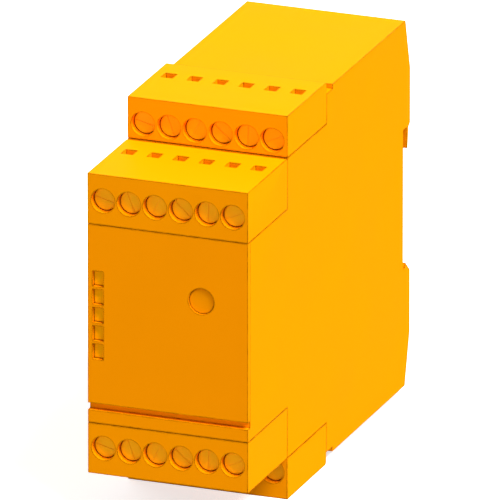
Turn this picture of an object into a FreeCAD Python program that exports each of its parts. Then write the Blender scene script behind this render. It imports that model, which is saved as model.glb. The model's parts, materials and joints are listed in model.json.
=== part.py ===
import FreeCAD, Part
import os
import re
import Sketcher
from FreeCAD import Vector

# Safety relay, 45 mm wide, for a 35 mm top-hat rail. Millimetres.
# Each body is drawn from the corner at the left, front and bottom: X to the right, Y to the back, Z up.
# Its placement then puts the origin under the middle of the whole device.

sizes = {
    # outline of the device
    "width": 45.0,
    "depth": 121.2,             # front face to back
    "height": 107.0,            # underside of the lowest block to the top of the highest
    "wall": 1.8,                # housing walls
    "coverWall": 1.2,           # side cover
    "fit": 0.1,                 # clearance between moulded pieces that go together
    "seam": 0.15,               # gap left round a plug-in block
    "slideGap": 0.25,           # gap under a rear block, which slides out over the front one
    # steps of the front
    "tierDepth": 29.2,          # front block's face to rear block's face
    "rearPlugDepth": 29.0,
    "tierRise": 11.75,          # rear block's outer face beyond the front block's
    "frontBay": 14.15,          # height of a front bay
    "notchWidth": 4.45,         # groove behind a rear block
    "notchDrop": 3.3,
    "topDrop": 2.0,             # housing top below the rear block's top
    "stripHeight": 3.56,        # housing strip over the lower front block
    "grooveHeight": 1.87,       # finger groove under the front cover
    "panelThickness": 1.6,      # front cover
    # back with the rail recess
    "railWidth": 35.0,
    "railFloor": 35.5,          # where the rail's lower edge rests
    "recessDepth": 5.2,
    "railSlot": 2.7,            # upper slot, front to back
    "springRoom": 4.1,          # over the rail's upper edge
    "tongueThickness": 1.3,
    "tongueLap": 1.8,           # of the rail's edge behind the tongue
    "lipSlot": 1.3,
    "lipRise": 1.2,
    "lipDrop": 3.0,
    "leanIn": 3.6,              # how far the back leans in at top and bottom
    "leanHeight": 14.3,
    # poles of the terminal blocks
    "poleEdge": 4.35,           # outer pole to the side of the device
    "poleLand": 0.66,           # left between two screw recesses
    "axisDrop": 7.3,            # screw axis below the block's outer face
    "screwSink": 1.9,
    "headHeight": 2.4,
    "headGap": 0.2,
    "shankHalf": 1.3,           # shanks are drawn square, to keep the hidden part of a screw light
    "shankGap": 0.2,
    "threadGap": 0.05,
    "channelRib": 1.46,         # between two chambers
    "channelBelow": 3.0,
    "cageAbove": 3.3,
    "cageLength": 9.0,
    "cageWall": 0.8,
    "cageNut": 1.8,
    "cageGap": 0.8,             # play in front of the open clamp
    "cageClear": 0.45,          # behind it
    "entryWidth": 3.2,          # wire entries
    "entryLength": 3.6,
    "entryPlace": 5.5,          # middle of the entry from the clamp's front
    "barPlace": 2.7,            # current bar from the clamp's front
    "plugRound": 0.8,
    "stripThickness": 0.5,      # sheet of the current bars
    "barWidth": 3.0,
    "sleeveLength": 5.0,
    "sleeveInset": 0.8,
    # pin headers
    "pinSize": 1.0,
    "pinGap": 0.05,
    "pinReach": 5.5,
    "pinTail": 2.0,
    "headerDepth": 3.5,
    "headerHalf": 3.0,
    "bossHalf": 2.0,
    "headerEnd": 0.4,
    "bossEnd": 2.0,
    # circuit boards and what stands on them
    "boardThickness": 1.6,
    "boardGap": 0.3,
    "holeGap": 0.15,            # round a header pin
    "displayPlace": 11.0,
    "ribHeight": 1.2,
    "ribThickness": 1.2,
    "ribLength": 5.0,
    "ribPlace": 17.0,           # rib's near end from the middle height
    "linkPin": 0.64,
    "linkPitch": 2.54,
    "linkHeight": 2.6,
    "linkDepth": 2.5,
    "relayGap": 0.3,
    "relayDepth": 24.0,
    "relayHeight": 29.0,
    "relayDrop": 15.5,          # relays' top below the device's
    "supplyWidth": 30.0,
    "supplyDepth": 26.0,
    "supplyHeight": 28.0,
    "supplyPlace": 11.5,
    "filmWidth": 7.0,
    "filmHeight": 9.0,
    "filmDepth": 16.0,
    "filmSpacing": 19.0,
    "filmPlace": 41.0,
    # posts that join the side cover to the housing
    "postHalf": 2.8,
    "postBore": 1.4,            # half the bore's side
    "postPin": 6.0,
    "postInset": 4.0,
    # status windows, button and switch
    "windowLeft": 1.4,
    "windowWidth": 3.0,
    "windowHeight": 4.2,
    "windowPitch": 5.07,
    "windowDrop": 15.0,         # middle of the top window below the upper bay
    "windowSink": 1.0,
    "guideDepth": 1.5,
    "guideEdge": 2.0,
    "lampWidth": 2.8,
    "lampLength": 3.5,
    "lampHeight": 1.9,
    "lampGap": 0.3,             # light guide to lamp
    "buttonAcross": 31.9,
    "buttonDrop": 17.6,         # below the upper bay
    "buttonHole": 3.6,          # radius
    "buttonSink": 0.5,
    "buttonFoot": 4.4,          # half the foot's side
    "footThickness": 0.8,
    "stemHalf": 1.5,
    "switchWidth": 6.2,
    "switchHeight": 3.6,
    "plungerHalf": 1.6,
    "plungerRise": 1.4,
    "plungerSink": 1.0,
    "buttonTravel": 1.2,
    # snap hooks of the front cover
    "hookWidth": 4.0,
    "hookThickness": 1.0,
    "hookBarb": 0.5,
    "hookReach": 1.4,
    "hookSpacing": 20.0,
    "hookEdge": 5.0,
    # rail spring
    "springLength": 34.0,
    "springWidth": 2.2,
    "springThickness": 0.4,
    "springBow": 4.2,
    "springEnd": 1.4,
    "keeperWidth": 1.5,
}

poleCount = 6
windowCount = 5
linkPins = 5

document = FreeCAD.newDocument("safety_relay")
sheet = document.addObject("Spreadsheet::Sheet", "dim")
for row, (name, value) in enumerate(sizes.items(), start=1):
    sheet.set(f"A{row}", name)
    sheet.set(f"B{row}", str(value))
    sheet.setAlias(f"B{row}", name)
document.recompute()


def formula(text):
    # size names in a formula become references to the sheet
    return re.sub(r"[A-Za-z]+", lambda m: "dim." + m.group() if m.group() in sizes else m.group(), text)


def measure(text):
    return float(sheet.evalExpression(formula(text)))


# places that several pieces share
pitch = f"((width - 2 * poleEdge) / {poleCount - 1})"
lowerBay = "(tierRise + frontBay)"
upperBay = "(height - tierRise - frontBay)"
frontTop = "(height - tierRise)"
rearBack = "(tierDepth + rearPlugDepth + seam)"
recess = "(depth - recessDepth)"
slotRoof = "(railFloor + railWidth + springRoom)"
wallBack = "(panelThickness + wall)"
frontBoard = "(tierDepth + wall + headerDepth)"
rearBoard = f"({rearBack} + wall + headerDepth)"
recessRadius = f"(({pitch} - poleLand) / 2)"
channelWidth = f"({pitch} - channelRib)"
cageWidth = f"({channelWidth} - 2 * fit)"
windowTop = f"({upperBay} - windowDrop)"
windowLow = f"({windowTop} - {windowCount - 1} * windowPitch)"
guideRight = "(windowLeft + windowWidth + guideEdge)"
buttonSpot = ("buttonAcross", f"({upperBay} - buttonDrop)")


def newBody(label):
    body = document.addObject("PartDesign::Body", label)
    body.Label = label
    body.AllowCompound = True
    body.setExpression("Placement.Base.x", formula("-width / 2"))
    body.setExpression("Placement.Base.y", formula("-depth / 2"))
    return body


def originFeature(body, role):
    return next(feature for feature in body.Origin.OriginFeatures if feature.Role == role)


def newSketch(body, name, plane, place, across="0"):
    sketch = body.newObject("Sketcher::SketchObject", name + "Sketch")
    sketch.AttachmentSupport = (originFeature(body, plane), [""])
    sketch.MapMode = "FlatFace"
    outward = "-" if plane == "XZ_Plane" else ""     # that plane looks along -Y
    sketch.setExpression("AttachmentOffset.Base.z", formula(f"{outward}({place})"))
    sketch.setExpression("AttachmentOffset.Base.x", formula(across))
    return sketch


def pin(sketch, geometry, point, corner):
    for axis, kind, text in ((-2, "DistanceX", corner[0]), (-1, "DistanceY", corner[1])):
        if text == "0":
            sketch.addConstraint(Sketcher.Constraint("PointOnObject", geometry, point, axis))
            continue
        index = sketch.addConstraint(Sketcher.Constraint(kind, geometry, point, measure(text)))
        sketch.setExpression(f"Constraints[{index}]", formula(text))


def drawPolygon(sketch, corners):
    spots = [Vector(measure(across), measure(up), 0) for across, up in corners]
    first = sketch.GeometryCount
    for number, spot in enumerate(spots):
        sketch.addGeometry(Part.LineSegment(spot, spots[(number + 1) % len(spots)]), False)
    for number, corner in enumerate(corners):
        following = first + (number + 1) % len(corners)
        sketch.addConstraint(Sketcher.Constraint("Coincident", first + number, 2, following, 1))
        pin(sketch, first + number, 1, corner)


def drawCircle(sketch, middle, radius):
    spot = Vector(measure(middle[0]), measure(middle[1]), 0)
    number = sketch.addGeometry(Part.Circle(spot, Vector(0, 0, 1), measure(radius)), False)
    pin(sketch, number, 3, middle)
    index = sketch.addConstraint(Sketcher.Constraint("Radius", number, measure(radius)))
    sketch.setExpression(f"Constraints[{index}]", formula(radius))


def rectangle(left, right, low, high):
    return [(left, low), (right, low), (right, high), (left, high)]


def around(middle, half):
    return f"({middle}) - ({half})", f"({middle}) + ({half})"


def square(middle, half):
    return rectangle(*around(middle[0], half), *around(middle[1], half))


def extrude(kind, body, name, plane, start, end, outlines):
    # from start to end along the plane's axis; an outline is a list of corners, or a middle and a radius
    sketch = newSketch(body, name, plane, start)
    for outline in outlines:
        if isinstance(outline, list):
            drawPolygon(sketch, outline)
        else:
            drawCircle(sketch, *outline)
    feature = body.newObject("PartDesign::" + kind, name)
    feature.Profile = sketch
    feature.setExpression("Length", formula(f"({end}) - ({start})"))
    feature.Reversed = (kind == "Pad") == (plane == "XZ_Plane")
    body.Tip = feature
    return feature


def pad(body, name, plane, start, end, *outlines):
    return extrude("Pad", body, name, plane, start, end, outlines)


def pocket(body, name, plane, start, end, *outlines):
    return extrude("Pocket", body, name, plane, start, end, outlines)


def repeat(body, name, axis, spacing, count, features):
    pattern = body.newObject("PartDesign::LinearPattern", name)
    pattern.Originals = features
    pattern.Direction = (originFeature(body, axis), [""])
    pattern.setExpression("Length", formula(f"{count - 1} * {spacing}"))
    pattern.Occurrences = count
    body.Tip = pattern
    return pattern


def roundEdges(body, name, radius, wanted):
    document.recompute()
    base = body.Tip
    edges = [f"Edge{n}" for n, edge in enumerate(base.Shape.Edges, start=1) if wanted(edge)]
    fillet = body.newObject("PartDesign::Fillet", name)
    fillet.Base = (base, edges)
    fillet.setExpression("Radius", formula(radius))
    body.Tip = fillet
    return fillet


def lies(edge, **spots):
    # true when the whole edge lies at the given places, such as y=3.0, z=5.0
    return all(
        abs(getattr(vertex.Point, axis) - spot) < 1e-4
        for vertex in edge.Vertexes
        for axis, spot in spots.items()
    )


def turnOver(source, label):
    # the lower blocks are the upper ones turned over about the middle height
    mirror = document.addObject("Part::Mirroring", label)
    mirror.Label = label
    mirror.Source = source
    mirror.Normal = Vector(0, 0, 1)
    mirror.setExpression("Base.z", formula("height / 2"))
    return mirror


def insideProfile(inset):
    # the hollow of the housing, seen from the side, with its walls inset by this much
    def flip(level):
        return f"height - ({level})"
    upper = [
        (f"panelThickness + {inset}", f"{upperBay} - ({inset})"),
        (f"tierDepth + {inset}", f"{upperBay} - ({inset})"),
        (f"tierDepth + {inset}", f"{frontTop} - ({inset})"),
        (f"{rearBack} + {inset}", f"{frontTop} - ({inset})"),
        (f"{rearBack} + {inset}", f"height - notchDrop - ({inset})"),
        (f"{rearBack} + notchWidth + {inset}", f"height - notchDrop - ({inset})"),
        (f"{rearBack} + notchWidth + {inset}", f"height - topDrop - ({inset})"),
        (f"depth - leanIn - ({inset})", f"height - topDrop - ({inset})"),
        (f"depth - ({inset})", "height - topDrop - leanHeight"),
    ]
    lower = [(across, flip(up)) for across, up in reversed(upper)]
    back = [
        (f"depth - ({inset})", f"{slotRoof} + {inset}"),
        (f"{recess} - ({inset})", f"{slotRoof} + {inset}"),
        (f"{recess} - ({inset})", f"railFloor - ({inset})"),
        (f"depth - ({inset})", f"railFloor + lipRise - lipDrop - ({inset}) / 2"),
    ]
    return upper + back + lower


def outsideProfile():
    # the housing from the side: bays for the blocks, rail recess with its tongue and lip
    return [
        ("0", lowerBay),
        ("0", f"{lowerBay} + stripHeight"),
        ("panelThickness", f"{lowerBay} + stripHeight"),
        ("panelThickness", upperBay),
        ("tierDepth", upperBay),
        ("tierDepth", frontTop),
        (rearBack, frontTop),
        (rearBack, "height - notchDrop"),
        (f"{rearBack} + notchWidth", "height - notchDrop"),
        (f"{rearBack} + notchWidth", "height - topDrop"),
        ("depth - leanIn", "height - topDrop"),
        ("depth", "height - topDrop - leanHeight"),
        ("depth", f"{slotRoof} + tongueThickness / 2"),
        (f"{recess} + railSlot + tongueThickness", f"{slotRoof} - tongueThickness / 6"),
        (f"{recess} + railSlot + tongueThickness / 2", "railFloor + railWidth - tongueLap"),
        (f"{recess} + railSlot", "railFloor + railWidth - tongueLap"),
        (f"{recess} + railSlot", slotRoof),
        (recess, slotRoof),
        (recess, "railFloor"),
        (f"{recess} + lipSlot", "railFloor"),
        (f"{recess} + lipSlot + lipRise / 2", "railFloor + lipRise"),
        ("depth", "railFloor + lipRise - lipDrop"),
        ("depth", "topDrop + leanHeight"),
        ("depth - leanIn", "topDrop"),
        (f"{rearBack} + notchWidth", "topDrop"),
        (f"{rearBack} + notchWidth", "notchDrop"),
        (rearBack, "notchDrop"),
        (rearBack, "tierRise"),
        ("tierDepth", "tierRise"),
        ("tierDepth", lowerBay),
    ]


lampOutline = rectangle(*around("windowLeft + windowWidth / 2", "lampWidth / 2"),
                        *around(windowLow, "lampLength / 2"))
boardEnds = {
    "displayPlace": f"{lowerBay} + wall + boardGap",
    frontBoard: "tierRise + wall + boardGap",
    rearBoard: "notchDrop + wall + boardGap",
}
middleRibs = ("height / 2 - ribPlace - ribLength", "height / 2 + ribPlace")
displayEnd = boardEnds["displayPlace"]
ribLevels = {
    "displayPlace": (displayEnd, f"height - ({displayEnd}) - ribLength"),   # clear of the lamps
    frontBoard: middleRibs,
    rearBoard: middleRibs,
}
postSpots = [
    (f"({frontBoard} + boardThickness + {rearBack}) / 2", "tierRise + wall + postHalf + postInset / 2"),
    (f"{recess} - wall - postHalf - postInset", "topDrop + wall + postHalf + postInset"),
]
postSpots += [(across, f"height - ({up})") for across, up in postSpots]
axisUp = {"front": f"({frontTop} - axisDrop)", "rear": "(height - axisDrop)"}
bayFace = {"front": "tierDepth", "rear": rearBack}
blockFace = {"front": "0", "rear": "tierDepth"}
blockBack = {"front": "(tierDepth - seam)", "rear": "(tierDepth + rearPlugDepth)"}
sleeveFront = {tier: f"({back} - sleeveInset - sleeveLength)" for tier, back in blockBack.items()}
cageFront = {tier: f"({front} - cageClear - cageLength)" for tier, front in sleeveFront.items()}
barFront = {tier: f"({front} + barPlace)" for tier, front in cageFront.items()}
coverLow = f"({lowerBay} + stripHeight + grooveHeight)"
hookLevels = {"Upper": f"{upperBay} - hookEdge", "Lower": f"{coverLow} + hookEdge"}


def pinUp(tier):
    # the header pins enter the sleeves, which lie on the floor of the chambers
    return f"({axisUp[tier]} - channelBelow + barWidth / 2)"


def boardRibs(body, name, left, right):
    outlines = []
    for place, levels in ribLevels.items():
        for side in (f"{place} - fit - ribThickness", f"{place} + boardThickness + fit"):
            for low in levels:
                outlines.append(rectangle(side, f"{side} + ribThickness", low, f"{low} + ribLength"))
    pad(body, name, "YZ_Plane", left, right, *outlines)


def makeHousing():
    body = newBody("housing_shell")
    pad(body, "block", "YZ_Plane", "0", "width", outsideProfile())
    pocket(body, "hollow", "YZ_Plane", "0", "width - wall", insideProfile("wall"))
    boardRibs(body, "boardRibs", "width - wall - ribHeight", "width - wall")
    pad(body, "posts", "YZ_Plane", "coverWall + fit", "width - wall",
        *[square(spot, "postHalf") for spot in postSpots])
    pocket(body, "postBores", "YZ_Plane", "coverWall", "coverWall + fit + postPin + fit",
           *[square(spot, "postBore") for spot in postSpots])
    guide = rectangle("windowLeft", "windowLeft + windowWidth",
                      f"{windowLow} - windowHeight / 2", f"{windowTop} + windowHeight / 2")
    pocket(body, "frontWallOpenings", "XZ_Plane", "panelThickness", wallBack,
           guide, (buttonSpot, "buttonHole"))
    for tier in ("front", "rear"):
        for level in (pinUp(tier), f"(height - {pinUp(tier)})"):
            low, high = around(level, "bossHalf + fit")
            window = rectangle("poleEdge - bossEnd - fit", "width - poleEdge + bossEnd + fit", low, high)
            pocket(body, tier + "HeaderWindow", "XZ_Plane", bayFace[tier], f"{bayFace[tier]} + wall", window)
    for name, level in hookLevels.items():
        low, high = around(level, "hookThickness / 2 + hookBarb + fit")
        slots = []
        for middle in around("width / 2", "hookSpacing / 2"):
            left, right = around(middle, "hookWidth / 2 + fit")
            slots.append(rectangle(left, right, low, high))
        pocket(body, "hookSlots" + name, "XZ_Plane", "panelThickness", wallBack, *slots)
    keeperStart = "(width / 2 - springLength / 2 - keeperWidth)"
    lap = "(springThickness + 2 * fit)"
    keeper = [
        (keeperStart, f"{slotRoof} - keeperWidth - {lap}"),
        (f"{keeperStart} + keeperWidth + springEnd", f"{slotRoof} - keeperWidth - {lap}"),
        (f"{keeperStart} + keeperWidth + springEnd", f"{slotRoof} - {lap}"),
        (f"{keeperStart} + keeperWidth - fit", f"{slotRoof} - {lap}"),
        (f"{keeperStart} + keeperWidth - fit", slotRoof),
        (keeperStart, slotRoof),
    ]
    otherKeeper = [(f"width - ({across})", up) for across, up in keeper]
    pad(body, "springKeepers", "XZ_Plane", recess, f"{recess} + railSlot", keeper, otherKeeper)


def makeSideCover():
    body = newBody("side_cover")
    pad(body, "plate", "YZ_Plane", "0", "coverWall", insideProfile("(wall + fit)"))
    boardRibs(body, "boardRibs", "coverWall", "coverWall + ribHeight")
    pad(body, "pins", "YZ_Plane", "coverWall", "coverWall + postPin",
        *[square(spot, "postBore - fit") for spot in postSpots])


def makeFrontCover():
    body = newBody("front_cover")
    plate = rectangle("0", "width", coverLow, upperBay)
    pad(body, "plate", "XZ_Plane", "0", "panelThickness", plate)
    low, high = around(windowLow, "windowHeight / 2")
    window = pocket(body, "window", "XZ_Plane", "0", "panelThickness",
                    rectangle("windowLeft", "windowLeft + windowWidth", low, high))
    repeat(body, "windows", "Z_Axis", "windowPitch", windowCount, [window])
    pocket(body, "buttonOpening", "XZ_Plane", "0", "panelThickness", (buttonSpot, "buttonHole"))
    for name, level in hookLevels.items():
        way = "+" if name == "Upper" else "-"
        near = f"{level} {way} (-1) * hookThickness / 2"
        far = f"{level} {way} hookThickness / 2"
        hook = [
            ("panelThickness", near),
            (f"{wallBack} + hookReach", near),
            (f"{wallBack} + hookReach", far),
            (f"{wallBack} + fit", f"{far} {way} hookBarb"),
            (f"{wallBack} + fit", far),
            ("panelThickness", far),
        ]
        middle = "width / 2 - hookSpacing / 2"
        first = pad(body, "hook" + name, "YZ_Plane", *around(middle, "hookWidth / 2"), hook)
        repeat(body, "hooks" + name, "X_Axis", "hookSpacing", 2, [first])


def makeLightGuide():
    body = newBody("light_guide")
    edge = "(windowHeight / 2 + guideEdge)"
    base = rectangle("windowLeft", guideRight, f"{windowLow} - {edge}", f"{windowTop} + {edge}")
    pad(body, "base", "XZ_Plane", wallBack, f"{wallBack} + guideDepth", base)
    low, high = around(windowLow, "windowHeight / 2 - fit")
    finger = pad(body, "finger", "XZ_Plane", "windowSink", wallBack,
                 rectangle("windowLeft + fit", "windowLeft + windowWidth - fit", low, high))
    repeat(body, "fingers", "Z_Axis", "windowPitch", windowCount, [finger])
    # behind each window a leg brings the light from the lamp
    leg = pad(body, "leg", "XZ_Plane", f"{wallBack} + guideDepth",
              "displayPlace - lampHeight - lampGap", lampOutline)
    repeat(body, "legs", "Z_Axis", "windowPitch", windowCount, [leg])


def makeLamps():
    body = newBody("status_lamps")
    lamp = pad(body, "lamp", "XZ_Plane", "displayPlace - lampHeight", "displayPlace", lampOutline)
    repeat(body, "lamps", "Z_Axis", "windowPitch", windowCount, [lamp])


def makeButton():
    switchFace = "displayPlace - switchHeight"
    plungerFace = f"{switchFace} - plungerRise"
    footFace = f"{wallBack} + fit / 2"
    body = newBody("reset_button")
    pad(body, "cap", "XZ_Plane", "buttonSink", footFace, (buttonSpot, "buttonHole - fit"))
    pad(body, "foot", "XZ_Plane", footFace, f"{footFace} + footThickness", square(buttonSpot, "buttonFoot"))
    pad(body, "stem", "XZ_Plane", f"{footFace} + footThickness", plungerFace, square(buttonSpot, "stemHalf"))
    plunger = newBody("switch_plunger")
    pad(plunger, "rod", "XZ_Plane", plungerFace, f"{switchFace} + plungerSink", square(buttonSpot, "plungerHalf"))
    switch = newBody("push_switch")
    pad(switch, "case", "XZ_Plane", switchFace, "displayPlace", square(buttonSpot, "switchWidth / 2"))
    pocket(switch, "bore", "XZ_Plane", switchFace, f"{switchFace} + plungerSink + buttonTravel + fit",
           square(buttonSpot, "plungerHalf + fit"))


def makeBoard(label, place, tier=None):
    body = newBody(label)
    low = boardEnds[place]
    outline = rectangle("coverWall + boardGap", "width - wall - boardGap", low, f"height - ({low})")
    pad(body, "board", "XZ_Plane", place, f"{place} + boardThickness", outline)
    if tier:
        rows = [square(("poleEdge", level), "pinSize / 2 + holeGap")
                for level in (pinUp(tier), f"height - {pinUp(tier)}")]
        holes = pocket(body, "hole", "XZ_Plane", place, f"{place} + boardThickness", *rows)
        repeat(body, "holes", "X_Axis", pitch, poleCount, [holes])


def makeLink(label, start, end):
    # pins between two boards, held in an insulator on each
    firstPin = f"width / 2 - {(linkPins - 1) / 2} * linkPitch"
    pinOutline = square((firstPin, "height / 2"), "linkPin / 2")
    strips = newBody(label + "_strips")
    half = f"{linkPins / 2} * linkPitch"
    bar = rectangle(*around("width / 2", half), *around("height / 2", "linkHeight / 2"))
    pad(strips, "nearBar", "XZ_Plane", start, f"{start} + linkDepth", bar)
    pad(strips, "farBar", "XZ_Plane", f"{end} - linkDepth", end, bar)
    hole = pocket(strips, "hole", "XZ_Plane", start, end, pinOutline)
    repeat(strips, "holes", "X_Axis", "linkPitch", linkPins, [hole])
    pins = newBody(label + "_pins")
    first = pad(pins, "pin", "XZ_Plane", start, end, pinOutline)
    repeat(pins, "pins", "X_Axis", "linkPitch", linkPins, [first])


def makeRelays():
    room = "(width - coverWall - wall - 2 * ribHeight - 4 * relayGap)"
    for number, side in enumerate(("left", "middle", "right")):
        body = newBody("relay_" + side)
        left = f"coverWall + ribHeight + relayGap + {number} * ({room} / 3 + relayGap)"
        board = f"{rearBoard} + boardThickness"
        top = "height - relayDrop"
        outline = rectangle(left, f"{left} + {room} / 3", f"{top} - relayHeight", top)
        pad(body, "case", "XZ_Plane", board, f"{board} + relayDepth", outline)


def makeSupply():
    board = f"{rearBoard} + boardThickness"
    body = newBody("supply_transformer")
    outline = rectangle(*around("width / 2", "supplyWidth / 2"), "supplyPlace", "supplyPlace + supplyHeight")
    pad(body, "case", "XZ_Plane", board, f"{board} + supplyDepth", outline)
    films = newBody("capacitors")
    across = around("width / 2 - filmSpacing / 2", "filmWidth / 2")
    film = pad(films, "film", "XZ_Plane", board, f"{board} + filmDepth",
               rectangle(*across, "filmPlace", "filmPlace + filmHeight"))
    repeat(films, "pair", "X_Axis", "filmSpacing", 2, [film])


def makePlug(tier):
    # moulded block: screw recesses in its face, a chamber for each pole open to the back, wire entries on top
    face, back = blockFace[tier], blockBack[tier]
    floor = f"{upperBay} + seam" if tier == "front" else f"{frontTop} + slideGap"
    top = frontTop if tier == "front" else "height"
    axis = axisUp[tier]
    body = newBody(f"plug_top_{tier}")
    pad(body, "block", "YZ_Plane", "0", "width", rectangle(face, back, floor, top))
    backSpot = measure(back)
    topSpot = measure(top)
    roundEdges(body, "softEdge", "plugRound", lambda edge: lies(edge, y=backSpot, z=topSpot))
    seat = f"{face} + screwSink + headHeight"
    chamber = f"{cageFront[tier]} - cageGap"
    roof = f"{axis} + cageAbove + 2 * fit"
    recessCut = pocket(body, "recess", "XZ_Plane", face, seat, (("poleEdge", axis), recessRadius))
    passage = pocket(body, "passage", "XZ_Plane", seat, chamber,
                     square(("poleEdge", axis), "shankHalf + shankGap"))
    chamberCut = pocket(body, "chamber", "XZ_Plane", chamber, back,
                        rectangle(*around("poleEdge", f"{channelWidth} / 2"), f"{axis} - channelBelow", roof))
    entry = pocket(body, "entry", "XY_Plane", roof, top,
                   rectangle(*around("poleEdge", "entryWidth / 2"),
                             *around(f"{cageFront[tier]} + entryPlace", "entryLength / 2")))
    repeat(body, "poles", "X_Axis", pitch, poleCount, [recessCut, passage, chamberCut, entry])
    return body


def makeScrews(tier):
    spot = ("poleEdge", axisUp[tier])
    front = f"{blockFace[tier]} + screwSink"
    seat = f"{front} + headHeight"
    body = newBody(f"screws_top_{tier}")
    head = pad(body, "head", "XZ_Plane", front, seat, (spot, f"{recessRadius} - headGap"))
    shank = pad(body, "shank", "XZ_Plane", seat, barFront[tier], square(spot, "shankHalf"))
    repeat(body, "screws", "X_Axis", pitch, poleCount, [head, shank])
    return body


def makeClamps(tier):
    # open box that the screw draws against the current bar, with the wire between them
    start = cageFront[tier]
    end = f"{start} + cageLength"
    low = f"{axisUp[tier]} - channelBelow + stripThickness + fit"
    high = f"{axisUp[tier]} + cageAbove"
    body = newBody(f"clamps_top_{tier}")
    box = pad(body, "box", "XY_Plane", low, high,
              rectangle(*around("poleEdge", f"{cageWidth} / 2"), start, end))
    window = pocket(body, "window", "XY_Plane", low, high,
                    rectangle(*around("poleEdge", f"{cageWidth} / 2 - cageWall"),
                              f"{start} + cageNut", f"{end} - cageWall"))
    thread = pocket(body, "thread", "XZ_Plane", start, f"{start} + cageNut",
                    square(("poleEdge", axisUp[tier]), "shankHalf + threadGap"))
    repeat(body, "clamps", "X_Axis", pitch, poleCount, [box, window, thread])
    return body


def makeContacts(tier):
    # bent current bar under the screw's tip, running back to a sleeve for the header pin
    end = f"{blockBack[tier]} - sleeveInset"
    front = barFront[tier]
    floor = f"({axisUp[tier]} - channelBelow)"
    sides = around("poleEdge", "barWidth / 2")
    body = newBody(f"contacts_top_{tier}")
    bar = pad(body, "bar", "YZ_Plane", *sides, [
        (front, floor),
        (end, floor),
        (end, f"{floor} + stripThickness"),
        (f"{front} + stripThickness", f"{floor} + stripThickness"),
        (f"{front} + stripThickness", f"{axisUp[tier]} + cageAbove - stripThickness"),
        (front, f"{axisUp[tier]} + cageAbove - stripThickness"),
    ])
    sleeve = pad(body, "sleeve", "XZ_Plane", sleeveFront[tier], end,
                 rectangle(*sides, floor, f"{floor} + barWidth"))
    hole = pocket(body, "hole", "XZ_Plane", sleeveFront[tier], end,
                  square(("poleEdge", pinUp(tier)), "pinSize / 2 + pinGap"))
    repeat(body, "contacts", "X_Axis", pitch, poleCount, [bar, sleeve, hole])
    return body


def makeHeader(tier):
    wallFace = bayFace[tier]
    inner = f"{wallFace} + wall"
    body = newBody(f"header_top_{tier}")
    pad(body, "base", "XZ_Plane", inner, f"{inner} + headerDepth",
        rectangle("coverWall + headerEnd", "width - wall - headerEnd", *around(pinUp(tier), "headerHalf")))
    pad(body, "boss", "XZ_Plane", f"{wallFace} + fit", inner,
        rectangle("poleEdge - bossEnd", "width - poleEdge + bossEnd", *around(pinUp(tier), "bossHalf")))
    pinOutline = square(("poleEdge", pinUp(tier)), "pinSize / 2")
    hole = pocket(body, "hole", "XZ_Plane", f"{wallFace} + fit", f"{inner} + headerDepth", pinOutline)
    repeat(body, "holes", "X_Axis", pitch, poleCount, [hole])
    pins = newBody(f"header_pins_top_{tier}")
    first = pad(pins, "pin", "XZ_Plane", f"{wallFace} - pinReach",
                f"{inner} + headerDepth + boardThickness + pinTail", pinOutline)
    repeat(pins, "pins", "X_Axis", pitch, poleCount, [first])
    return body, pins


def makeRailSpring():
    # bowed leaf in the upper slot of the rail recess, flat at both ends
    half = measure("springLength / 2")
    flat = half - measure("springEnd") - measure("fit")
    roof = measure(f"{slotRoof} - fit")
    bow = measure("springBow")
    thick = measure("springThickness")

    def outline(drop):
        left = Part.LineSegment(Vector(-half, 0, roof - drop), Vector(-flat, 0, roof - drop))
        crown = Vector(0, 0, roof - drop - bow)
        middle = Part.Arc(Vector(-flat, 0, roof - drop), crown, Vector(flat, 0, roof - drop))
        right = Part.LineSegment(Vector(flat, 0, roof - drop), Vector(half, 0, roof - drop))
        return [left, middle, right]

    upper = outline(0)
    lower = outline(thick)
    ends = [Part.LineSegment(Vector(side, 0, roof), Vector(side, 0, roof - thick)) for side in (-half, half)]
    wire = Part.Wire(Part.__sortEdges__([curve.toShape() for curve in upper + lower + ends]))
    start = measure(f"{recess} + (railSlot - springWidth) / 2 - depth / 2")
    leaf = Part.Face(wire).extrude(Vector(0, measure("springWidth"), 0))
    spring = document.addObject("Part::Feature", "rail_spring")
    spring.Label = "rail_spring"
    spring.Shape = leaf
    spring.Placement = FreeCAD.Placement(Vector(0, start, 0), FreeCAD.Rotation())


makeHousing()
makeSideCover()
makeFrontCover()
makeLightGuide()
makeLamps()
makeButton()
makeBoard("display_board", "displayPlace")
makeBoard("front_board", frontBoard, "front")
makeBoard("rear_board", rearBoard, "rear")
makeLink("display_link", "displayPlace + boardThickness", frontBoard)
makeLink("board_link", f"{frontBoard} + boardThickness", rearBoard)
makeRelays()
makeSupply()
for tierName in ("front", "rear"):
    upperPieces = [makePlug(tierName), makeScrews(tierName), makeClamps(tierName), makeContacts(tierName)]
    upperPieces += makeHeader(tierName)
    for piece in upperPieces:
        turnOver(piece, piece.Label.replace("_top_", "_bottom_"))
makeRailSpring()
document.recompute()

failed = [item.Label for item in document.Objects if "Invalid" in item.State or "Error" in item.State]
if failed:
    raise SystemExit("failed: " + ", ".join(failed))
pieces = [item for item in document.Objects
          if item.TypeId in ("PartDesign::Body", "Part::Mirroring", "Part::Feature")]
os.makedirs("parts", exist_ok=True)
for piece in pieces:
    shape = piece.Shape
    if shape.isNull() or not shape.isValid() or not shape.Solids:
        raise SystemExit("bad shape: " + piece.Label)
    shape.exportStep(f"parts/{piece.Label}.step")
    print(piece.Label, len(shape.Solids), round(shape.Volume, 2))
print(len(pieces), "pieces")
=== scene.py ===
import bmesh
import bpy
import json
import math
from mathutils import Matrix, Vector


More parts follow.
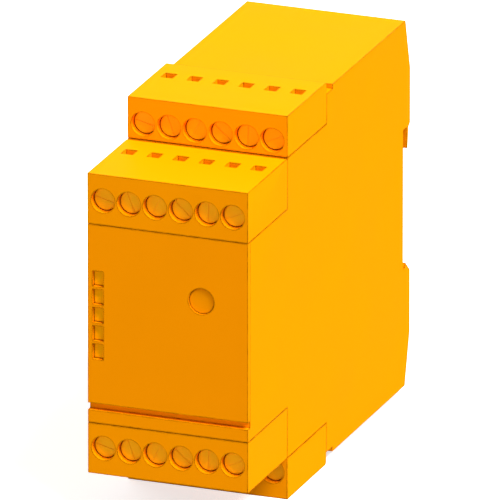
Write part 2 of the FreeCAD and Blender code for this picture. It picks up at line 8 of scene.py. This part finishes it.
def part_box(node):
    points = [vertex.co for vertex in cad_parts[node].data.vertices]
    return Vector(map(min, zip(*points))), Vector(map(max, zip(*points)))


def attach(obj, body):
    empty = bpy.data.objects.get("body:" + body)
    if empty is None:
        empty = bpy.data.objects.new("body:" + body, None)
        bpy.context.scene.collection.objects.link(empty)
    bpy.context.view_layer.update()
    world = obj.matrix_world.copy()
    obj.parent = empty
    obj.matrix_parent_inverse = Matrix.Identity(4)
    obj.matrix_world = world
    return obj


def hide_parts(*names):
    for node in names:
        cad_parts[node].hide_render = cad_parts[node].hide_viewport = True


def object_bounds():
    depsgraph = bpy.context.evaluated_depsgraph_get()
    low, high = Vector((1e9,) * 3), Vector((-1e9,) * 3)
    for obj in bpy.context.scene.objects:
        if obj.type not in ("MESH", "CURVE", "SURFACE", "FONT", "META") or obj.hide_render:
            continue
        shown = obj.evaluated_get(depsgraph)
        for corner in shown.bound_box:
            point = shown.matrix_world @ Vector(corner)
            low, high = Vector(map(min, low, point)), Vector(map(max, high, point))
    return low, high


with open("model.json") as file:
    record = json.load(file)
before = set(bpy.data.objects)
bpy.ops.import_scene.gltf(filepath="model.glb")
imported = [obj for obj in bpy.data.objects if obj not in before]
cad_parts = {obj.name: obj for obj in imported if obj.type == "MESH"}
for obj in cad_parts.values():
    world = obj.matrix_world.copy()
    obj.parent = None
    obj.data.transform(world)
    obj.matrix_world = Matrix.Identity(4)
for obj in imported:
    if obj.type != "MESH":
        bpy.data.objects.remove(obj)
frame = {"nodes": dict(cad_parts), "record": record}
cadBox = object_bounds()
nodes = frame["nodes"]
slots = {part["node"]: part["material_slot"] for part in frame["record"]["subparts"]}
print("frame loaded:", len(nodes), "nodes")


def link(tree, *pairs):
    for source, target in pairs:
        tree.links.new(source, target)


def addNode(tree, kind, **values):
    node = tree.nodes.new("ShaderNode" + kind)
    for name, value in values.items():
        setattr(node, name, value)
    return node


def addMath(tree, operation, first, second):
    node = addNode(tree, "Math", operation=operation)
    for socket, value in zip(node.inputs, (first, second)):
        if isinstance(value, (int, float)):
            socket.default_value = value
        else:
            tree.links.new(value, socket)
    return node.outputs[0]


def addRange(tree, value, low, high, newLow=0.0, newHigh=1.0):
    node = addNode(tree, "MapRange", clamp=True)
    tree.links.new(value, node.inputs["Value"])
    for label, number in (("From Min", low), ("From Max", high), ("To Min", newLow), ("To Max", newHigh)):
        node.inputs[label].default_value = number
    return node.outputs["Result"]


def startGroup(name, inputs, outputs):
    group = bpy.data.node_groups.new(name, "ShaderNodeTree")
    for label, value in inputs.items():
        socket = group.interface.new_socket(name=label, in_out="INPUT", socket_type="NodeSocketFloat")
        socket.default_value = value
    for label in outputs:
        group.interface.new_socket(name=label, in_out="OUTPUT", socket_type="NodeSocketFloat")
    return group, group.nodes.new("NodeGroupInput"), group.nodes.new("NodeGroupOutput")


noiseRange = (0.3, 0.7)      # where most of a noise's values lie
grainEffect = {
    "pitDetail": 3.0,
    "pitRoughness": 0.6,
    "slowDetail": 2.0,
}


def makeGrainGroup():
    # spark-eroded mould texture: fine pits on a slow unevenness
    group, into, out = startGroup("mouldGrain", {"Size": 0.0005, "Waviness": 0.012}, ["Height", "Tone"])
    place = addNode(group, "TexCoord")
    fine = addNode(group, "TexNoise", noise_dimensions="3D")
    fine.inputs["Detail"].default_value = grainEffect["pitDetail"]
    fine.inputs["Roughness"].default_value = grainEffect["pitRoughness"]
    slow = addNode(group, "TexNoise", noise_dimensions="3D")
    slow.inputs["Detail"].default_value = grainEffect["slowDetail"]
    link(group, (place.outputs["Object"], fine.inputs["Vector"]),
         (place.outputs["Object"], slow.inputs["Vector"]),
         (addMath(group, "DIVIDE", 1.0, into.outputs["Size"]), fine.inputs["Scale"]),
         (addMath(group, "DIVIDE", 1.0, into.outputs["Waviness"]), slow.inputs["Scale"]))
    pits = addRange(group, fine.outputs["Fac"], *noiseRange)
    link(group, (pits, out.inputs["Height"]), (slow.outputs["Fac"], out.inputs["Tone"]))
    return group


edgeEffect = {
    "samples": 4,
    "turn": (0.97, 0.84),        # cosine of the turn where the rubbing starts, and where it is full
    "patches": (0.3, 0.6),
    "betweenPatches": 0.5,       # rubbing that is left there
}


def makeEdgeGroup():
    # how far an edge is rubbed: where the surface turns within Width, in patches
    group, into, out = startGroup("edgeWear", {"Width": 0.0003, "Breakup": 0.002}, ["Mask"])
    rounded = addNode(group, "Bevel", samples=edgeEffect["samples"])
    sharp = addNode(group, "NewGeometry")
    turn = addNode(group, "VectorMath", operation="DOT_PRODUCT")
    place = addNode(group, "TexCoord")
    patches = addNode(group, "TexNoise", noise_dimensions="3D")
    link(group, (into.outputs["Width"], rounded.inputs["Radius"]),
         (rounded.outputs["Normal"], turn.inputs[0]),
         (sharp.outputs["Normal"], turn.inputs[1]),
         (place.outputs["Object"], patches.inputs["Vector"]),
         (addMath(group, "DIVIDE", 1.0, into.outputs["Breakup"]), patches.inputs["Scale"]))
    edge = addRange(group, turn.outputs["Value"], *edgeEffect["turn"])
    broken = addRange(group, patches.outputs["Fac"], *edgeEffect["patches"], edgeEffect["betweenPatches"])
    link(group, (addMath(group, "MULTIPLY", edge, broken), out.inputs["Mask"]))
    return group


seamShadeEffect = {
    "samples": 6,
    "openness": (0.75, 0.15),    # of a seam where the painted shade starts, and where it is full
}


def makeSeamShadeGroup():
    # painted shade: the colour darkens in seams and recesses, wherever ambient occlusion finds the surface
    # closed in
    group, into, out = startGroup("seamGrime", {"Reach": 0.0012}, ["Mask"])
    closed = addNode(group, "AmbientOcclusion", samples=seamShadeEffect["samples"])
    link(group, (into.outputs["Reach"], closed.inputs["Distance"]))
    link(group, (addRange(group, closed.outputs["AO"], *seamShadeEffect["openness"]), out.inputs["Mask"]))
    return group


def makeBrushGroup():
    # fine turned or drawn lines of a metal surface along one axis
    group, into, out = startGroup("drawnLines", {"Across": 6000.0, "Along": 300.0}, ["Lines"])
    place = addNode(group, "TexCoord")
    split = addNode(group, "SeparateXYZ")
    join = addNode(group, "CombineXYZ")
    lines = addNode(group, "TexNoise", noise_dimensions="3D")
    lines.inputs["Scale"].default_value = 1.0      # its place is scaled by Across and Along
    link(group, (place.outputs["Object"], split.inputs["Vector"]),
         (addMath(group, "MULTIPLY", split.outputs["X"], into.outputs["Across"]), join.inputs["X"]),
         (addMath(group, "MULTIPLY", split.outputs["Y"], into.outputs["Along"]), join.inputs["Y"]),
         (addMath(group, "MULTIPLY", split.outputs["Z"], into.outputs["Across"]), join.inputs["Z"]),
         (join.outputs["Vector"], lines.inputs["Vector"]),
         (lines.outputs["Fac"], out.inputs["Lines"]))
    return group


mouldGrain = makeGrainGroup()
edgeWear = makeEdgeGroup()
# painted shade for seams and recesses
seamGrime = makeSeamShadeGroup()
drawnLines = makeBrushGroup()
print("surface effects ready")


def startMaterial(name, **fixed):
    material = bpy.data.materials.new(name)
    material.use_nodes = True
    tree = material.node_tree
    shader = tree.nodes["Principled BSDF"]
    for label, value in fixed.items():
        shader.inputs[label.replace("_", " ")].default_value = value
    return material, tree, shader


def placeGroup(tree, group, **values):
    node = addNode(tree, "Group", node_tree=group)
    for label, value in values.items():
        node.inputs[label].default_value = value
    return node


def mixColour(tree, factor, first, second):
    node = addNode(tree, "Mix", data_type="RGBA")
    for socket, value in ((node.inputs[0], factor), (node.inputs[6], first), (node.inputs[7], second)):
        if isinstance(value, (tuple, float)):
            socket.default_value = value
        else:
            tree.links.new(value, socket)
    return node.outputs[2]


def addBump(tree, shader, height, depth, strength):
    bump = addNode(tree, "Bump")
    bump.inputs["Distance"].default_value = depth
    bump.inputs["Strength"].default_value = strength
    link(tree, (height, bump.inputs["Height"]), (bump.outputs["Normal"], shader.inputs["Normal"]))


def shade(colour, factor):
    return tuple(channel * factor for channel in colour[:3]) + (1.0,)


def addRoughness(tree, noise, look):
    spread = look["roughSpread"]
    return addRange(tree, noise, *noiseRange, look["roughness"] - spread, look["roughness"] + spread)


def makePlastic(name, look):
    material, tree, shader = startMaterial(name, Specular_IOR_Level=look["gloss"], IOR=look["refraction"])
    grain = placeGroup(tree, mouldGrain, Size=look["grainSize"], Waviness=look["waviness"])
    edge = placeGroup(tree, edgeWear, Width=look["edgeWidth"], Breakup=look["edgeBreakup"])
    # ambient occlusion mask for the painted shade in seams and recesses
    grime = placeGroup(tree, seamGrime, Reach=look["grimeReach"])
    tone = addRange(tree, grain.outputs["Tone"], *noiseRange)
    body = mixColour(tree, tone, shade(look["colour"], 1 - look["unevenness"]),
                     shade(look["colour"], 1 + look["unevenness"]))
    pitted = mixColour(tree, addMath(tree, "MULTIPLY", grain.outputs["Height"], look["pitShade"]),
                       body, shade(look["colour"], look["pitTone"]))
    rubbed = mixColour(tree, addMath(tree, "MULTIPLY", edge.outputs["Mask"], look["rub"]),
                       pitted, look["rubColour"])
    # painted shade: colour darkened in seams and recesses by the ambient occlusion mask
    seamShaded = mixColour(tree, addMath(tree, "MULTIPLY", grime.outputs["Mask"], look["grime"]),
                       rubbed, look["grimeColour"])
    smooth = addMath(tree, "MULTIPLY", edge.outputs["Mask"], -look["polish"])
    rough = addMath(tree, "ADD", smooth, addRoughness(tree, grain.outputs["Tone"], look))
    link(tree, (seamShaded, shader.inputs["Base Color"]), (rough, shader.inputs["Roughness"]))
    addBump(tree, shader, grain.outputs["Height"], look["grainDepth"], look["grainStrength"])
    return material


def makeMetal(name, look):
    material, tree, shader = startMaterial(name, Metallic=look["metal"], Specular_IOR_Level=look["gloss"])
    lines = placeGroup(tree, drawnLines, Across=look["across"], Along=look["along"])
    film = placeGroup(tree, mouldGrain, Waviness=look["tintSize"])
    edge = placeGroup(tree, edgeWear, Width=look["edgeWidth"], Breakup=look["edgeBreakup"])
    patches = addRange(tree, film.outputs["Tone"], *look["tintRange"])
    tint = mixColour(tree, patches, look["colour"], look["tint"])
    worn = mixColour(tree, addMath(tree, "MULTIPLY", edge.outputs["Mask"], look["wear"]), tint, look["bare"])
    rough = addRoughness(tree, lines.outputs["Lines"], look)
    link(tree, (worn, shader.inputs["Base Color"]), (rough, shader.inputs["Roughness"]))
    addBump(tree, shader, lines.outputs["Lines"], look["lineDepth"], look["lineStrength"])
    return material


amberLook = {
    "colour": (0.97, 0.303, 0.0, 1.0),
    "unevenness": 0.012,          # slow change of tone over the moulding
    "pitShade": 0.05,
    "pitTone": 0.6,               # colour of the pits, times the resin's
    "gloss": 0.015,
    "refraction": 1.22,
    "roughness": 0.6,
    "roughSpread": 0.04,
    "polish": 0.12,               # edges are smoother where they are handled
    "grainSize": 0.00035,         # metres, as all lengths here
    "grainDepth": 0.00002,
    "grainStrength": 0.3,
    "waviness": 0.02,
    "edgeWidth": 0.0007,
    "edgeBreakup": 0.003,
    "rub": 1.0,
    "rubColour": (0.14, 0.036, 0.0, 1.0),   # handled edges gather a thin brown line
    # painted shade in seams and recesses: how far it reaches, how strong it is, and its colour
    "grimeReach": 0.0006,
    "grime": 0.75,
    "grimeColour": (0.24, 0.07, 0.0, 1.0),
}


def plasticLook(**changes):
    look = dict(amberLook)
    look.update(changes)
    return look


# each look may give its own colour for the painted shade in seams and recesses
plasticLooks = {
    "amber_plastic": amberLook,
    "black_plastic": plasticLook(colour=(0.018, 0.018, 0.02, 1.0), rubColour=(0.08, 0.08, 0.08, 1.0),
                                 grimeColour=(0.01, 0.01, 0.01, 1.0), refraction=1.45, roughness=0.42),
    "board_laminate": plasticLook(colour=(0.015, 0.12, 0.05, 1.0), rubColour=(0.35, 0.33, 0.18, 1.0),
                                  grimeColour=(0.01, 0.04, 0.02, 1.0), refraction=1.5, roughness=0.3,
                                  grainSize=0.0009, unevenness=0.08),
    # the light guides take full painted shade along their recessed edges
    "guide_plastic": plasticLook(colour=(1.0, 0.45, 0.0, 1.0), rubColour=(0.6, 0.2, 0.0, 1.0),
                                 refraction=1.3, roughness=0.3, grainStrength=0.06, grimeReach=0.0005,
                                 grime=1.0, grimeColour=(0.12, 0.03, 0.0, 1.0)),
    "lamp_resin": plasticLook(colour=(0.72, 0.70, 0.62, 1.0), rubColour=(0.8, 0.8, 0.75, 1.0),
                              refraction=1.5, roughness=0.25, grainStrength=0.05),
    "switch_plastic": plasticLook(colour=(0.03, 0.03, 0.034, 1.0), rubColour=(0.1, 0.1, 0.1, 1.0),
                                  grimeColour=(0.01, 0.01, 0.01, 1.0), refraction=1.45, roughness=0.4),
    "relay_case": plasticLook(colour=(0.60, 0.60, 0.56, 1.0), rubColour=(0.75, 0.75, 0.72, 1.0),
                              grimeColour=(0.15, 0.15, 0.14, 1.0), refraction=1.5, roughness=0.24,
                              grainStrength=0.08),
    "potting": plasticLook(colour=(0.02, 0.02, 0.022, 1.0), rubColour=(0.07, 0.07, 0.07, 1.0),
                           grimeColour=(0.01, 0.01, 0.01, 1.0), refraction=1.5, roughness=0.36,
                           grainSize=0.0007),
    "film_case": plasticLook(colour=(0.52, 0.50, 0.44, 1.0), rubColour=(0.65, 0.63, 0.57, 1.0),
                             grimeColour=(0.12, 0.12, 0.1, 1.0), refraction=1.45, roughness=0.34),
}
screwLook = {
    "metal": 0.05,                    # thick yellow passivation dulls the steel
    "colour": (1.0, 0.49, 0.0, 1.0),
    "tint": (0.98, 0.45, 0.0, 1.0),   # its slight rainbow
    "tintSize": 0.006,
    "tintRange": (0.35, 0.65),
    "bare": (1.0, 0.49, 0.05, 1.0),
    "gloss": 0.08,
    "roughness": 0.46,
    "roughSpread": 0.06,
    "across": 5200.0,                 # lines to the metre
    "along": 900.0,
    "lineDepth": 0.00001,
    "lineStrength": 0.4,
    "edgeWidth": 0.00015,
    "edgeBreakup": 0.001,
    "wear": 0.3,
}


def metalLook(**changes):
    look = dict(screwLook, metal=1.0, gloss=0.5)
    look.update(changes)
    return look


metalLooks = {
    "screw_steel": screwLook,
    "clamp_steel": metalLook(colour=(0.62, 0.63, 0.64, 1.0), tint=(0.55, 0.57, 0.60, 1.0),
                             bare=(0.75, 0.75, 0.75, 1.0), roughness=0.36),
    "contact_brass": metalLook(colour=(0.74, 0.66, 0.46, 1.0), tint=(0.66, 0.60, 0.45, 1.0),
                               bare=(0.80, 0.62, 0.28, 1.0), roughness=0.3),
    "spring_steel": metalLook(colour=(0.50, 0.50, 0.51, 1.0), tint=(0.44, 0.43, 0.42, 1.0),
                              bare=(0.62, 0.62, 0.62, 1.0), roughness=0.3, across=400.0, along=6000.0),
}
materials = {slot: makePlastic(slot.replace("_", ""), look) for slot, look in plasticLooks.items()}
materials.update({slot: makeMetal(slot.replace("_", ""), look) for slot, look in metalLooks.items()})
# the blocks are moulded from another batch of the same resin
blockAmber = makePlastic("blockamber", plasticLook(colour=(0.97, 0.310, 0.0, 1.0)))
print("materials ready:", len(materials) + 1)


edges = {
    "mergeWithin": 1e-7,
    "flatAngle": 0.01,       # radians: triangles of one face become one face
    "bevelAngle": 0.6,
    "roundAngle": 0.2,       # facets that turn less than this belong to a round wall
    "steps": 2,
    "widths": {              # rounding of moulded and cut edges, metres
        "housing_shell": 0.00025, "front_cover": 0.0002, "side_cover": 0.0002, "reset_button": 0.0002,
        "plug": 0.00014, "relay": 0.0006, "supply": 0.0006, "capacitors": 0.0004, "clamps": 0.00012,
    },
    "otherWidth": 0.0001,
}


def makeSmoothingGroup():
    # round walls are shaded round, flat faces and their rounded edges stay crisp
    group = bpy.data.node_groups.new("roundWalls", "GeometryNodeTree")
    group.is_modifier = True
    for way in ("INPUT", "OUTPUT"):
        group.interface.new_socket(name="Geometry", in_out=way, socket_type="NodeSocketGeometry")
    into, out = group.nodes.new("NodeGroupInput"), group.nodes.new("NodeGroupOutput")
    faces = group.nodes.new("GeometryNodeSetShadeSmooth")
    turns = group.nodes.new("GeometryNodeSetShadeSmooth")
    turns.domain = "EDGE"
    angle = group.nodes.new("GeometryNodeInputMeshEdgeAngle")
    slight = group.nodes.new("FunctionNodeCompare")
    slight.operation = "LESS_THAN"
    slight.inputs["B"].default_value = edges["roundAngle"]
    link(group, (into.outputs[0], faces.inputs["Geometry"]), (faces.outputs[0], turns.inputs["Geometry"]),
         (angle.outputs["Unsigned Angle"], slight.inputs["A"]),
         (slight.outputs["Result"], turns.inputs["Shade Smooth"]), (turns.outputs[0], out.inputs[0]))
    return group


roundWalls = makeSmoothingGroup()


def edgeWidthOf(name):
    widths = edges["widths"]
    return next((widths[key] for key in widths if name.startswith(key)), edges["otherWidth"])


def smoothWalls(piece):
    walls = piece.modifiers.new("walls", "NODES")
    walls.node_group = roundWalls


def roundEdges(piece, width):
    weld = piece.modifiers.new("weld", "WELD")
    weld.merge_threshold = edges["mergeWithin"]
    flat = piece.modifiers.new("flat", "DECIMATE")
    flat.decimate_type = "DISSOLVE"
    flat.angle_limit = edges["flatAngle"]
    soft = piece.modifiers.new("soft", "BEVEL")
    soft.width = width
    soft.segments = edges["steps"]
    soft.limit_method = "ANGLE"
    soft.angle_limit = edges["bevelAngle"]
    smoothWalls(piece)


screws = {
    "facets": 48,
    "headHeight": 0.0024,
    "rim": 0.00022,
    "shankRadius": 0.0013,
    "slotWidth": 0.0005,
    "slotDepth": 0.0002,
    "slotLength": 1.1,                       # of the cutter, times the head's width
    "turns": (14, 69, 118, 41, 92, 155),     # degrees, one for each pole: no two are left at the same angle
}


def addTurned(shape, centreX, centreZ, profile, facets):
    # profile lists (radius, y) from the head's face to the end of the shank; both ends are closed
    angles = [2 * math.pi * step / facets for step in range(facets)]
    rings = []
    for radius, y in profile:
        rings.append([shape.verts.new((centreX + radius * math.cos(angle), y,
                                       centreZ + radius * math.sin(angle))) for angle in angles])
    for first, second in zip(rings, rings[1:]):
        for step in range(facets):
            after = (step + 1) % facets
            shape.faces.new((first[step], first[after], second[after], second[step]))
    shape.faces.new(list(reversed(rings[0])))
    shape.faces.new(rings[-1])


def addBar(shape, centre, size, turn):
    place = Matrix.Translation(centre) @ Matrix.Rotation(turn, 4, "Y")
    bmesh.ops.create_cube(shape, size=1, matrix=place @ Matrix.Diagonal((*size, 1)))


def makeObject(name, shape):
    bmesh.ops.recalc_face_normals(shape, faces=shape.faces)
    mesh = bpy.data.meshes.new(name)
    shape.to_mesh(mesh)
    shape.free()
    piece = bpy.data.objects.new(name, mesh)
    bpy.context.scene.collection.objects.link(piece)
    return piece


def cutAway(piece, tool):
    cut = piece.modifiers.new("cut", "BOOLEAN")
    cut.object = tool
    cut.solver = "EXACT"
    whole = piece.evaluated_get(bpy.context.evaluated_depsgraph_get())
    mesh = bpy.data.meshes.new_from_object(whole)
    piece.modifiers.clear()
    piece.data = mesh
    bpy.data.objects.remove(tool)


def makeScrewRow(node, body):
    # terminal screws with a straight slot
    low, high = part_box(node)
    radius = (high.z - low.z) / 2
    middleZ = (high.z + low.z) / 2
    pitch = (high.x - low.x - 2 * radius) / (len(screws["turns"]) - 1)
    seat = low.y + screws["headHeight"]
    profile = [(radius - screws["rim"], low.y), (radius, low.y + screws["rim"]), (radius, seat),
               (screws["shankRadius"], seat), (screws["shankRadius"], high.y)]
    heads, slotTools = bmesh.new(), bmesh.new()
    for number, turn in enumerate(screws["turns"]):
        middleX = low.x + radius + number * pitch
        addTurned(heads, middleX, middleZ, profile, screws["facets"])
        cutter = (2 * screws["slotLength"] * radius, 2 * screws["slotDepth"], screws["slotWidth"])
        addBar(slotTools, (middleX, low.y, middleZ), cutter, math.radians(turn))
    row = makeObject(node + "_slotted", heads)
    cutAway(row, makeObject("slotTools", slotTools))
    row.data.materials.append(materials["screw_steel"])
    smoothWalls(row)
    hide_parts(node)
    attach(row, body)


screwBodies = {name: name.replace("screws_", "") + "_block" for name in nodes if name.startswith("screws_")}
for name, body in screwBodies.items():
    makeScrewRow(name, body)
print("screw rows made:", len(screwBodies))


for name, piece in nodes.items():
    roundEdges(piece, edgeWidthOf(name))
    for spot in piece.material_slots:
        spot.material = blockAmber if name.startswith("plug_") else materials[slots[name]]
print("construction pieces finished")


camera = {
    "azimuth": 20.83,             # degrees to the right of the front
    "elevation": 19.6,
    "lens": 1700.0,
    "sensor": 36.0,
    "sight": 3.0,                 # how far it sees, times its distance
    "width": 0.13208,             # of the view at the target, metres
    "target": (0.0, 0.0, 0.0565),
}
studio = {
    "lightColour": (1.0, 1.0, 1.0, 1.0),
    "ambient": 0.28,
    "backdrop": 1.0,              # level that shows as white
    "floorColour": (0.80, 0.80, 0.80, 1.0),
    "floorBounce": (0.22, 0.22, 0.22, 1.0),     # the floor as the object's underside meets it
    "floorGlow": 0.68,
    "floorSize": 9.0,
    "floorGap": 0.00005,          # keeps the floor off the faces that stand on it
    "suns": {                     # direction towards the lamp, times its level, and its width in degrees
        "key": ((1.05, -0.32, 1.58), 30.0),
        "front": ((0.05, -0.24, 0.02), 20.0),
        "fill": ((-0.52, 0.56, 0.10), 60.0),
    },
}


def makeCamera():
    turn, rise = math.radians(camera["azimuth"]), math.radians(camera["elevation"])
    back = Vector((math.sin(turn) * math.cos(rise), -math.cos(turn) * math.cos(rise), math.sin(rise)))
    data = bpy.data.cameras.new("camera")
    data.lens = camera["lens"]
    data.sensor_width = camera["sensor"]
    distance = camera["width"] * camera["lens"] / camera["sensor"]
    data.clip_end = camera["sight"] * distance
    body = bpy.data.objects.new("camera", data)
    body.location = Vector(camera["target"]) + distance * back
    body.rotation_mode = "QUATERNION"
    body.rotation_quaternion = (-back).to_track_quat("-Z", "Y")
    bpy.context.scene.collection.objects.link(body)
    bpy.context.scene.camera = body


def seenDirectly(tree):
    # 1 for rays from the camera, in mirrors and through glass
    path = addNode(tree, "LightPath")
    mirrored = addMath(tree, "MAXIMUM", path.outputs["Is Glossy Ray"], path.outputs["Is Transmission Ray"])
    return addMath(tree, "MAXIMUM", path.outputs["Is Camera Ray"], mirrored)


def makeWorld():
    world = bpy.data.worlds.new("studio")
    world.use_nodes = True
    bpy.context.scene.world = world
    tree = world.node_tree
    tree.nodes.clear()
    lighting = addNode(tree, "Background")
    lighting.inputs["Strength"].default_value = studio["ambient"]
    backdrop = addNode(tree, "Background")
    backdrop.inputs["Strength"].default_value = studio["backdrop"]
    for surface in (lighting, backdrop):
        surface.inputs["Color"].default_value = studio["lightColour"]
    mix = addNode(tree, "MixShader")
    out = addNode(tree, "OutputWorld")
    link(tree, (seenDirectly(tree), mix.inputs[0]), (lighting.outputs[0], mix.inputs[1]),
         (backdrop.outputs[0], mix.inputs[2]), (mix.outputs[0], out.inputs["Surface"]))


def makeSuns():
    for name, (direction, spread) in studio["suns"].items():
        aim = Vector(direction)
        data = bpy.data.lights.new(name, "SUN")
        data.energy = aim.length * math.pi
        data.angle = math.radians(spread)
        lamp = bpy.data.objects.new(name, data)
        lamp.location = aim
        lamp.rotation_mode = "QUATERNION"
        lamp.rotation_quaternion = aim.to_track_quat("Z", "Y")
        bpy.context.scene.collection.objects.link(lamp)


def makeFloor():
    mesh = bpy.data.meshes.new("floor")
    half = studio["floorSize"] / 2
    corners = [(-half, -half, 0), (half, -half, 0), (half, half, 0), (-half, half, 0)]
    mesh.from_pydata(corners, [], [(0, 1, 2, 3)])
    floor = bpy.data.objects.new("floor", mesh)
    floor.location.z = cadBox[0].z - studio["floorGap"]
    bpy.context.scene.collection.objects.link(floor)
    material = bpy.data.materials.new("studioFloor")
    material.use_nodes = True
    tree = material.node_tree
    tree.nodes.clear()
    seen = seenDirectly(tree)
    paint = addNode(tree, "BsdfDiffuse")
    glow = addNode(tree, "Emission")
    total = addNode(tree, "AddShader")
    out = addNode(tree, "OutputMaterial")
    tint = mixColour(tree, seen, studio["floorBounce"], studio["floorColour"])
    link(tree, (tint, paint.inputs["Color"]),
         (addMath(tree, "MULTIPLY", seen, studio["floorGlow"]), glow.inputs["Strength"]),
         (paint.outputs[0], total.inputs[0]), (glow.outputs[0], total.inputs[1]),
         (total.outputs[0], out.inputs["Surface"]))
    mesh.materials.append(material)


makeCamera()
makeWorld()
makeSuns()
makeFloor()
bpy.context.scene.view_settings.view_transform = "Standard"
print("studio ready")
